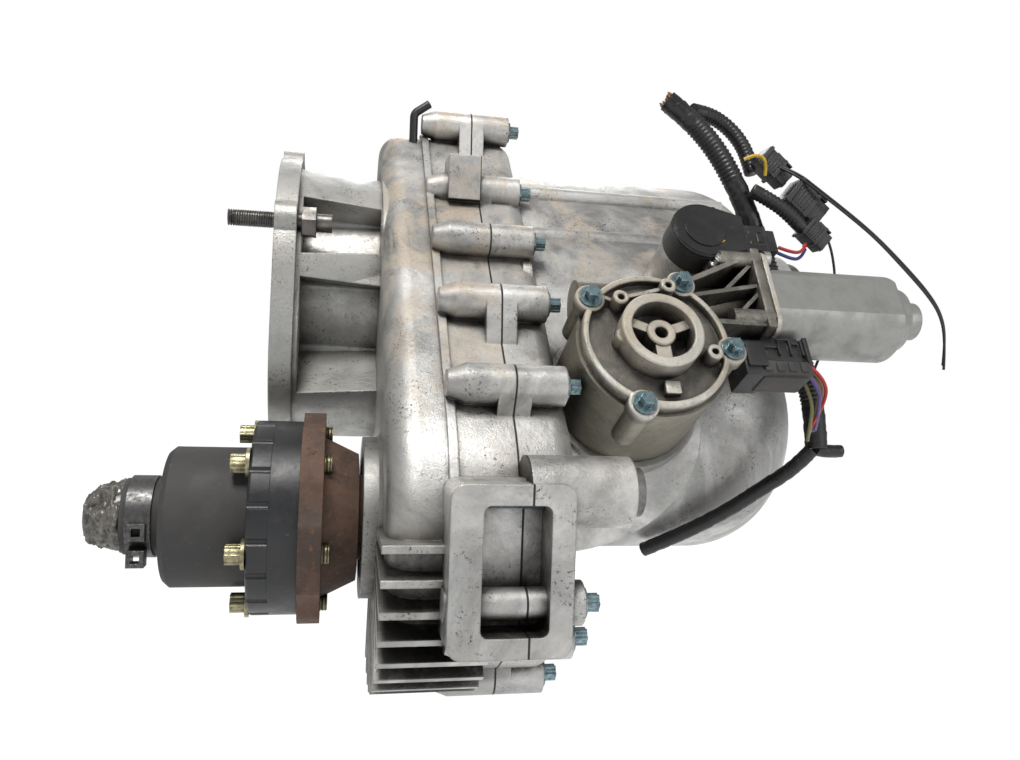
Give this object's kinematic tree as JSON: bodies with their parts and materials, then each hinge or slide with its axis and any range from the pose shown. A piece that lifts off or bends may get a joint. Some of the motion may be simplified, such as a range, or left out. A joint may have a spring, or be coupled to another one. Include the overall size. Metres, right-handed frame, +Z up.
{
  "type": "transfer case",
  "caption": "Two-speed chain-drive transfer case with electric clutch actuator, flanged front joint with boot stub, and cut harness.",
  "frame": {"origin": "main shaft axis at the gearbox mounting face", "axes": "+X rearwards along the main shaft, +Z up, front output on the -Y side"},
  "size_m": [0.5449, 0.378, 0.3837],
  "materials": {
    "cast_case": "weathered sand-cast surface",
    "cast_cover": "stained die casting",
    "steel": "ground steel",
    "dark_steel": "phosphated steel",
    "zinc_bolt": "blue-grey zinc plate",
    "olive_bolt": "olive zinc plate",
    "rusty": "rusted",
    "black_paint": "worn black",
    "rubber": "dusty rubber",
    "motor_steel": "weathered grey",
    "black_plastic": "matte",
    "friction": "friction lining",
    "wire_black": "satin insulation"
  },
  "bodies": {
    "case_body": {"front_case": "cast_case", "rear_case": "cast_case", "case_bolts": "zinc_bolt", "mounting_stud": "dark_steel", "fill_plug": "dark_steel", "vent_pipe": "wire_black", "ring_gear": "dark_steel", "drive_chain": "dark_steel", "thrust_ring": "dark_steel", "main_bearings": "steel", "front_bearings": "steel", "shaft_seals": "rubber", "actuator_housing": "cast_cover", "actuator_cover": "cast_cover", "cover_bolts": "zinc_bolt", "motor_plate": "rusty", "motor_can": "motor_steel", "motor_screws": "steel", "range_sensor": "black_plastic", "harness_trunk": "wire_black", "harness_tail": "wire_black", "harness_stub": "wire_black", "harness_loop": "wire_black", "harness_branch": "wire_black", "sensor_lead": "wire_black", "wire_a": "wire_black", "wire_b": "wire_black", "wire_c": "wire_black", "sensor_plug": "black_plastic", "motor_connector": "black_plastic", "harness_plugs": "black_plastic"},
    "main_train": {"input_shaft": "steel", "output_shaft": "steel", "drive_sprocket": "dark_steel", "clutch_drum": "steel", "clutch_hub": "steel", "clutch_plates": "friction", "output_flange": "dark_steel"},
    "range_sleeve_body": {"range_sleeve": "dark_steel"},
    "press_body": {"pressure_plate": "dark_steel"},
    "carrier": {"planet_carrier": "dark_steel"},
    "planet_1": {"planet_gear_1": "steel"},
    "planet_2": {"planet_gear_2": "steel"},
    "planet_3": {"planet_gear_3": "steel"},
    "front_train": {"front_shaft": "steel", "driven_sprocket": "dark_steel", "companion_flange": "rusty", "joint_housing": "black_paint", "joint_cap": "black_paint", "joint_bolts": "olive_bolt"},
    "cage": {"joint_cage": "steel"},
    "stub": {"stub_shaft": "dark_steel", "joint_boot": "rubber", "boot_clamp": "steel"},
    "fork": {"shift_fork": "dark_steel", "fork_rail": "steel"},
    "selector": {"selector_shaft": "steel"},
    "actuator_shaft": {"actuator_gear": "black_plastic"},
    "rotor": {"motor_rotor": "dark_steel"},
    "lever": {"ramp_lever": "steel"}
  },
  "joints": [
    {"name": "main_spin", "type": "hinge", "parent": "case_body", "child": "main_train", "pos_m": [0.2, 0, 0], "axis": [1, 0, 0], "continuous": true},
    {"name": "carrier_spin", "type": "hinge", "parent": "case_body", "child": "carrier", "pos_m": [0.097, 0, 0], "axis": [1, 0, 0], "continuous": true},
    {"name": "planet_1_spin", "type": "hinge", "parent": "carrier", "child": "planet_1", "pos_m": [0.085, 0, 0.057], "axis": [1, 0, 0], "continuous": true},
    {"name": "planet_2_spin", "type": "hinge", "parent": "carrier", "child": "planet_2", "pos_m": [0.085, -0.04936, -0.0285], "axis": [1, 0, 0], "continuous": true},
    {"name": "planet_3_spin", "type": "hinge", "parent": "carrier", "child": "planet_3", "pos_m": [0.085, 0.04936, -0.0285], "axis": [1, 0, 0], "continuous": true},
    {"name": "front_spin", "type": "hinge", "parent": "case_body", "child": "front_train", "pos_m": [0.08, -0.14944, -0.14033], "axis": [1, 0, 0], "continuous": true},
    {"name": "joint_bend", "type": "hinge", "parent": "front_train", "child": "stub", "pos_m": [0.017, -0.14944, -0.14033], "axis": [0, 0, 1], "range_deg": [-10, 10], "deforming": ["joint_boot"]},
    {"name": "cage_tilt", "type": "hinge", "parent": "front_train", "child": "cage", "pos_m": [0.017, -0.14944, -0.14033], "axis": [0, 0, 1], "range_deg": [-5, 5]},
    {"name": "range_slide", "type": "slide", "parent": "main_train", "child": "range_sleeve_body", "axis": [1, 0, 0], "range_m": [0, 0.0045]},
    {"name": "fork_slide", "type": "slide", "parent": "case_body", "child": "fork", "axis": [1, 0, 0], "range_m": [0, 0.0045]},
    {"name": "selector_turn", "type": "hinge", "parent": "case_body", "child": "selector", "pos_m": [0.26, -0.12454, 0.01734], "axis": [0, 0.866, -0.5], "range_deg": [0, 17.25]},
    {"name": "actuator_turn", "type": "hinge", "parent": "case_body", "child": "actuator_shaft", "pos_m": [0.212, -0.1819, -0.05], "axis": [0, -0.866, 0.5], "range_deg": [0, 180]},
    {"name": "rotor_spin", "type": "hinge", "parent": "case_body", "child": "rotor", "pos_m": [0.34, -0.1599, -0.01189], "axis": [1, 0, 0], "range_deg": [0, 8100]},
    {"name": "lever_swing", "type": "hinge", "parent": "case_body", "child": "lever", "pos_m": [0.21, 0, 0], "axis": [1, 0, 0], "range_deg": [0, 4.5]},
    {"name": "press_slide", "type": "slide", "parent": "main_train", "child": "press_body", "axis": [-1, 0, 0], "range_m": [0, 0.0008]}
  ],
  "couplings": [
    {"joint": "carrier_spin", "follows": "main_spin", "ratio": 0.3421},
    {"joint": "planet_1_spin", "follows": "main_spin", "ratio": -1.4254},
    {"joint": "planet_2_spin", "follows": "main_spin", "ratio": -1.4254},
    {"joint": "planet_3_spin", "follows": "main_spin", "ratio": -1.4254},
    {"joint": "front_spin", "follows": "main_spin", "ratio": 1},
    {"joint": "cage_tilt", "follows": "joint_bend", "ratio": 0.5},
    {"joint": "range_slide", "follows": "fork_slide", "ratio": 1},
    {"joint": "selector_turn", "follows": "fork_slide", "rad_per_m": 66.913},
    {"joint": "rotor_spin", "follows": "actuator_turn", "ratio": 45},
    {"joint": "lever_swing", "follows": "actuator_turn", "ratio": 0.025},
    {"joint": "press_slide", "follows": "actuator_turn", "m_per_rad": 0.0002546}
  ]
}
